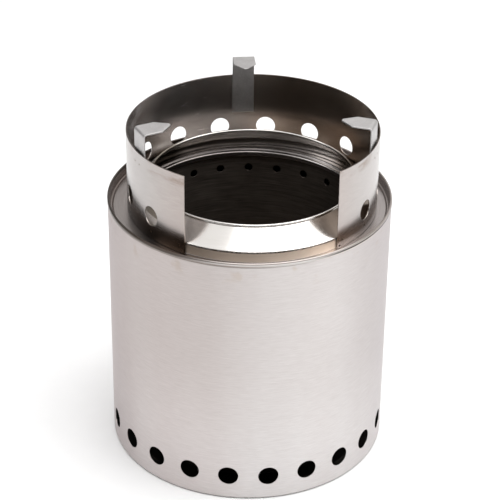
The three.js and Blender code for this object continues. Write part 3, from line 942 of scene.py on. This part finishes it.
ventPlaces = [
    ringPlace(180 + (i - (ring["ventCount"] - 1) / 2) * ring["ventPitchDegrees"], ring["ventHeight"])
    for i in range(ring["ventCount"])
]
underVent = ring["foot"] + ring["weldHeight"]
weldPlaces = {f"vent_weld_{i + 1}": (along, underVent) for i, (along, _) in enumerate(ventPlaces)}
for side, way in (("right", 1), ("left", -1)):
    for level, fromFeed, height in (
        ("upper", ring["weldFromFeedDegrees"], ring["weldHeight"]),
        ("lower", ring["lowWeldFromFeedDegrees"], ring["lowWeldHeight"]),
    ):
        degrees = 180 - way * (180 - ring["feedDegrees"] / 2 - fromFeed)
        weldPlaces[f"end_weld_{level}_{side}"] = ringPlace(degrees, height)
for side, degrees in bracketDegrees.items():
    for i, way in enumerate((-1, 1)):
        height = ring["top"] - ring["foot"] - ring["bracketWeldDrop"]
        weldPlaces[f"bracket_weld_{side}_{i + 1}"] = ringPlace(
            degrees % 360, height, way * ring["bracketWeldSpread"])


def roundedCorners(points, half, low, high, radius):
    # draws a square corner in to a quarter circle: within the corner's square, the distance from its inner
    # point is kept on each side and shared out along the arc between
    x, y = points[..., 0], points[..., 1]
    overX, overY = abs(x) - (half - radius), y - (high - radius)
    inCorner = (overX > 0) & (overY > 0)
    longest, length = np.maximum(overX, overY), np.hypot(overX, overY)
    share = np.where(inCorner, longest / np.where(length > 0, length, 1), 1)
    newX = np.where(inCorner, np.sign(x) * (half - radius + overX * share), x)
    newY = np.where(inCorner, high - radius + overY * share, y)
    return np.stack([newX, newY, points[..., 2]], axis=-1)


def turnHalf(points):
    # sheet coordinates run from the far side, so the wall turns half way round
    return points * np.array([-1, -1, 1])


def ringWall():
    land, radius = ring["land"], ring["radius"]
    half = radius * math.radians(180 - ring["feedDegrees"] / 2)
    vents = [(place, ring["ventRadius"], ring["ventBlock"]) for place in ventPlaces]
    welds = [(place, ring["weldHole"], ring["weldBlock"]) for place in weldPlaces.values()]
    corner = ring["cornerRadius"]
    marks = [half - land, half - corner, corner - half, land - half]
    along = latticeLines(marks, vents + welds, 0, ring["spacing"], ring["wideSpacing"])
    marks = [ring["foot"] + land, ring["top"] - corner, ring["top"] - land]
    height = latticeLines(marks, vents + welds, 1, ring["spacing"], ring["wideSpacing"])
    flat = drilledSheet(along, height, vents + welds, ring["wall"], ring["rounding"])
    flat.append(rimPatch(along, height, ring["wall"], ring["rounding"], land))
    place = onCylinder(radius)
    return [
        (onRing(turnHalf(place(roundedCorners(points, half, ring["foot"], ring["top"], corner)))), faces)
        for points, faces in flat
    ]


makePiece("ring_wall_sheet", ringWall(), "pot_ring", ringSteel, "ring_wall")

cone = {
    "wall": 0.6, "rounding": 0.15, "sides": 264,
    "flangeHeight": coneFlange, "shoulderBend": 0.9, "rise": 11.2, "run": 13.1,
    "sag": 0.25, "slopeSteps": 12,  # how far the slope curves in from straight
    "lipRoll": 0.6, "lipEndDegrees": -50, "lipSteps": 14, "gap": 0.3,
}


def flameCone():
    # up the flange, over the shoulder, up the slope, and round the rolled lip to its end inside the roll
    wall = cone["wall"]
    outer = ring["radius"] - ring["wall"] - cone["gap"]
    middle, foot = outer - wall / 2, cadFoot("flame_cone")
    shoulder = foot + cone["flangeHeight"]
    lipCentre = np.array([outer - wall - cone["run"] + cone["lipRoll"] + wall / 2, shoulder + cone["rise"]])
    slope = math.atan2(cone["rise"], middle - lipCentre[0])
    turn = np.radians(np.linspace(270 - math.degrees(slope), cone["lipEndDegrees"], cone["lipSteps"]))
    roll = lipCentre + cone["lipRoll"] * np.stack([np.cos(turn), np.sin(turn)], axis=-1)
    path = bendPath([(middle, foot), (middle, shoulder), tuple(roll[0])], [cone["shoulderBend"]])
    share = np.linspace(0, 1, cone["slopeSteps"])[1:-1, None]
    start, run = path[-3], path[-2] - path[-3]
    inward = np.array([run[1], -run[0]]) / np.linalg.norm(run)
    curve = 4 * share * (1 - share)  # 0 at both ends of the slope and 1 at its middle
    slopePoints = start + share * run - cone["sag"] * curve * inward
    midline = np.concatenate([path[:-2], slopePoints, path[-2:-1], roll])
    return [turnedPatch(sheetOutline(midline, wall, cone["rounding"]), cone["sides"])]


makePiece("flame_cone_sheet", flameCone(), "pot_ring", coneSteel, "flame_cone", onRing)

bracket = {
    "wall": 1.0, "rounding": 0.28, "land": 0.45, "spacing": 1.0,
    "width": 14.0, "reach": 20.5, "tipLength": 7.8, "tipWidth": 2.0, "drop": 26.0, "bend": 1.4,
    "cornerStep": 0.8, "tipStep": 0.25,  # close lattice lines at the corners and where the tip starts
}


def potBracket(side):
    # a strip in flat coordinates (along its length, across it, depth below its outer face), narrowed
    # towards its tip, then laid along a bent path in the upright plane
    wall, half, land = bracket["wall"], bracket["width"] / 2, bracket["land"]
    face = math.sqrt((ring["radius"] - ring["wall"]) ** 2 - half ** 2) - 2 * cone["gap"]
    foot, top = ring["top"] - bracket["drop"], cadTop(f"pot_bracket_{side}")
    bend = bracket["bend"] + wall / 2
    legLength, topLength = top - bend - foot, bracket["reach"] - bend
    length = legLength + bend * math.pi / 2 + topLength
    bendEnd, tipStart = legLength + bend * math.pi / 2, length - bracket["tipLength"]
    corner, tipStep, spacing = bracket["cornerStep"], bracket["tipStep"], bracket["spacing"]
    marks = [
        land, corner, legLength, bendEnd, tipStart - tipStep, tipStart, tipStart + tipStep,
        length - corner, length - land,
    ]
    along = latticeLines(marks, [], 0, spacing, spacing)
    marks = [-half + land, -half + corner, half - corner, half - land]
    across = latticeLines(marks, [], 0, spacing, spacing)
    flat = drilledSheet(along, across, [], wall, bracket["rounding"])
    flat.append(rimPatch(along, across, wall, bracket["rounding"], land))
    angle = math.radians(bracketDegrees[side])

    def place(points):
        u, v, depth = np.moveaxis(points, -1, 0)
        tip = np.clip((u - tipStart) / (length - tipStart), 0, 1)
        v = v * (1 + tip * (bracket["tipWidth"] / bracket["width"] - 1))
        swing = np.clip((u - legLength) / bend, 0, math.pi / 2)
        reach = face - bend + (bend - depth) * np.cos(swing) - np.clip(u - bendEnd, 0, None)
        height = foot + np.clip(u, None, legLength) + (bend - depth) * np.sin(swing)
        x = reach * math.sin(angle) + v * math.cos(angle)
        y = -reach * math.cos(angle) + v * math.sin(angle)
        return onRing(np.stack([x, y, height], axis=-1))

    patches = [(place(points), faces) for points, faces in flat]
    name = f"pot_bracket_{side}"
    makePiece(f"{name}_strip", patches, "pot_ring", bracketSteel, name)


for side in bracketDegrees:
    potBracket(side)

weld = {"radius": 0.76, "sides": 20, "rings": 6, "dish": 0.2, "edge": 0.04}


def spotWeld(name, along, height):
    # a dished button in the ring's wall: depth grows from its edge to its middle as 1 - share squared
    face = np.linspace(0, 1, weld["rings"])
    share = np.concatenate([face, [1.0, 0.0]])
    depth = np.concatenate([weld["edge"] + weld["dish"] * (1 - face ** 2), [ring["wall"], ring["wall"]]])
    turn = fullTurn * np.arange(weld["sides"]) / weld["sides"]
    reach = weld["radius"] * share[:, None]
    rows, columns = len(share), weld["sides"]
    depths = np.broadcast_to(depth[:, None], (rows, columns))
    points = np.stack([along + reach * np.cos(turn), height + reach * np.sin(turn), depths], axis=-1)
    points = onRing(turnHalf(onCylinder(ring["radius"])(points)))
    patch = points, gridFaces(rows, columns, False, True)
    finish = faintWeldSteel if name.startswith("bracket") else weldSteel
    makePiece(f"{name}_button", [patch], "pot_ring", finish, name)


for name, (along, height) in weldPlaces.items():
    spotWeld(name, along, height)

# Floor, lights and camera, in metres.
floor = {
    "half": 6.0, "grainScale": 60.0, "dark": colour(0.90, 0.90, 0.90), "light": colour(0.93, 0.93, 0.93),
    "roughness": 0.9, "specular": 0.2, "bumpDepth": 0.0001,
}


def floorSheet():
    finish = newMaterial("paperFloor")
    grain = finish.noise(finish.place, scale=floor["grainScale"], detail=4.0)
    inputs = {
        "Base Color": finish.mix(grain, floor["dark"], floor["light"]),
        "Roughness": floor["roughness"], "Specular IOR Level": floor["specular"],
    }
    half = floor["half"]
    mesh = bpy.data.meshes.new("studio_floor")
    corners = [(-half, -half, 0), (half, -half, 0), (half, half, 0), (-half, half, 0)]
    mesh.from_pydata(corners, [], [(0, 1, 2, 3)])
    mesh.materials.append(finish.finishWith(inputs, grain, floor["bumpDepth"]))
    sheet = bpy.data.objects.new("studio_floor", mesh)
    bpy.context.scene.collection.objects.link(sheet)


softboxes = {  # place, target, size and power
    "overheadSoftbox": ((0.80, -0.3, 1.6), (0.80, -0.3, 0), (2.2, 1.9), 46.0),
    "leftSoftbox": ((-0.9, -0.3, 1.6), (-0.9, -0.3, 0), (1.2, 1.9), 9.0),
    "lowLeftSoftbox": ((-1.7, -0.3, 1.25), (-0.3, 0, 0), (1.0, 1.2), 9.0),
    "rearSoftbox": ((-0.3, 1.5, 1.7), (-0.2, 1.0, 0), (2.6, 0.7), 6.5),
}


def softbox(name, place, target, size, power):
    light = bpy.data.lights.new(name, "AREA")
    light.shape, light.size, light.size_y = "RECTANGLE", *size
    light.energy = power
    lamp = bpy.data.objects.new(name, light)
    turn = (Vector(place) - Vector(target)).to_track_quat("Z", "Y")
    lamp.matrix_world = Matrix.Translation(place) @ turn.to_matrix().to_4x4()
    bpy.context.scene.collection.objects.link(lamp)


surround = {
    "tint": colour(1.0, 0.985, 0.975), "bandTop": (0.04, 0.16), "bandLevel": 0.9,
    "farFrom": (0.0, 0.6), "farLevel": 0.9, "dimLevel": 0.04, "ceilingFrom": (0.55, 0.85),
    "dimSide": (-0.85, 0.53), "dimFrom": (0.2, 0.9), "dimShare": 0.6,
    "rightFrom": (0.62, 0.80), "rightAbove": (0.27, 0.36), "rightBehind": (0.10, 0.35), "rightLevel": 0.8,
}


def worldLight():
    # a pale band all round at eye level; above it the far side stays pale, and the near side and the
    # ceiling are dim, with one corner of the far side dimmer and a glow high on the right
    world = bpy.data.worlds.new("studio")
    light = Finish(world, "Generated")
    x, y, z = light.parts()
    overBand = light.ramp(z, *surround["bandTop"])
    far = light.ramp(y, *surround["farFrom"]) * (1 - light.ramp(z, *surround["ceilingFrom"]))
    upper = surround["dimLevel"] + far * (surround["farLevel"] - surround["dimLevel"])
    level = (1 - overBand) * surround["bandLevel"] + overBand * upper
    sideX, sideY = surround["dimSide"]
    side = light.ramp(x * sideX + y * sideY, *surround["dimFrom"])
    level = level * (1 - side * surround["dimShare"])
    right = light.ramp(x, *surround["rightFrom"]) * light.ramp(z, *surround["rightAbove"])
    right = right * (1 - light.ramp(y, *surround["rightBehind"]))
    level = level + right * surround["rightLevel"]
    glow = {"Color": surround["tint"], "Strength": level}
    background = light.node("ShaderNodeBackground", {}, glow)
    light.close("ShaderNodeOutputWorld", background)
    bpy.context.scene.world = world


view = {
    "place": (-0.0141, -1.0036, 0.7060), "yaw": 0.84, "pitch": -29.85, "roll": 0.73,
    "lens": 130.64, "sensor": 36.0, "near": 0.01, "far": 50.0,
}


def cameraRig():
    # yaw turns from +Y towards +X, pitch is up from level, and roll turns about the line of sight
    yaw, pitch, roll = (math.radians(view[key]) for key in ("yaw", "pitch", "roll"))
    level = math.cos(pitch)
    forward = np.array([math.sin(yaw) * level, math.cos(yaw) * level, math.sin(pitch)])
    right = np.array([math.cos(yaw), -math.sin(yaw), 0])
    up = np.cross(right, forward)
    rolledRight = math.cos(roll) * right + math.sin(roll) * up
    rolledUp = -math.sin(roll) * right + math.cos(roll) * up
    turn = np.eye(4)
    turn[:3, :3] = np.stack([rolledRight, rolledUp, -forward], axis=-1)
    turn[:3, 3] = view["place"]
    camera = bpy.data.cameras.new("camera")
    camera.lens, camera.sensor_width = view["lens"], view["sensor"]
    camera.clip_start, camera.clip_end = view["near"], view["far"]
    eye = bpy.data.objects.new("camera", camera)
    eye.matrix_world = Matrix(turn.tolist())
    bpy.context.scene.collection.objects.link(eye)
    bpy.context.scene.camera = eye


floorSheet()
worldLight()
for name, (place, target, size, power) in softboxes.items():
    softbox(name, place, target, size, power)
cameraRig()
bpy.context.scene.view_settings.view_transform = "Standard"
print("studio ready")
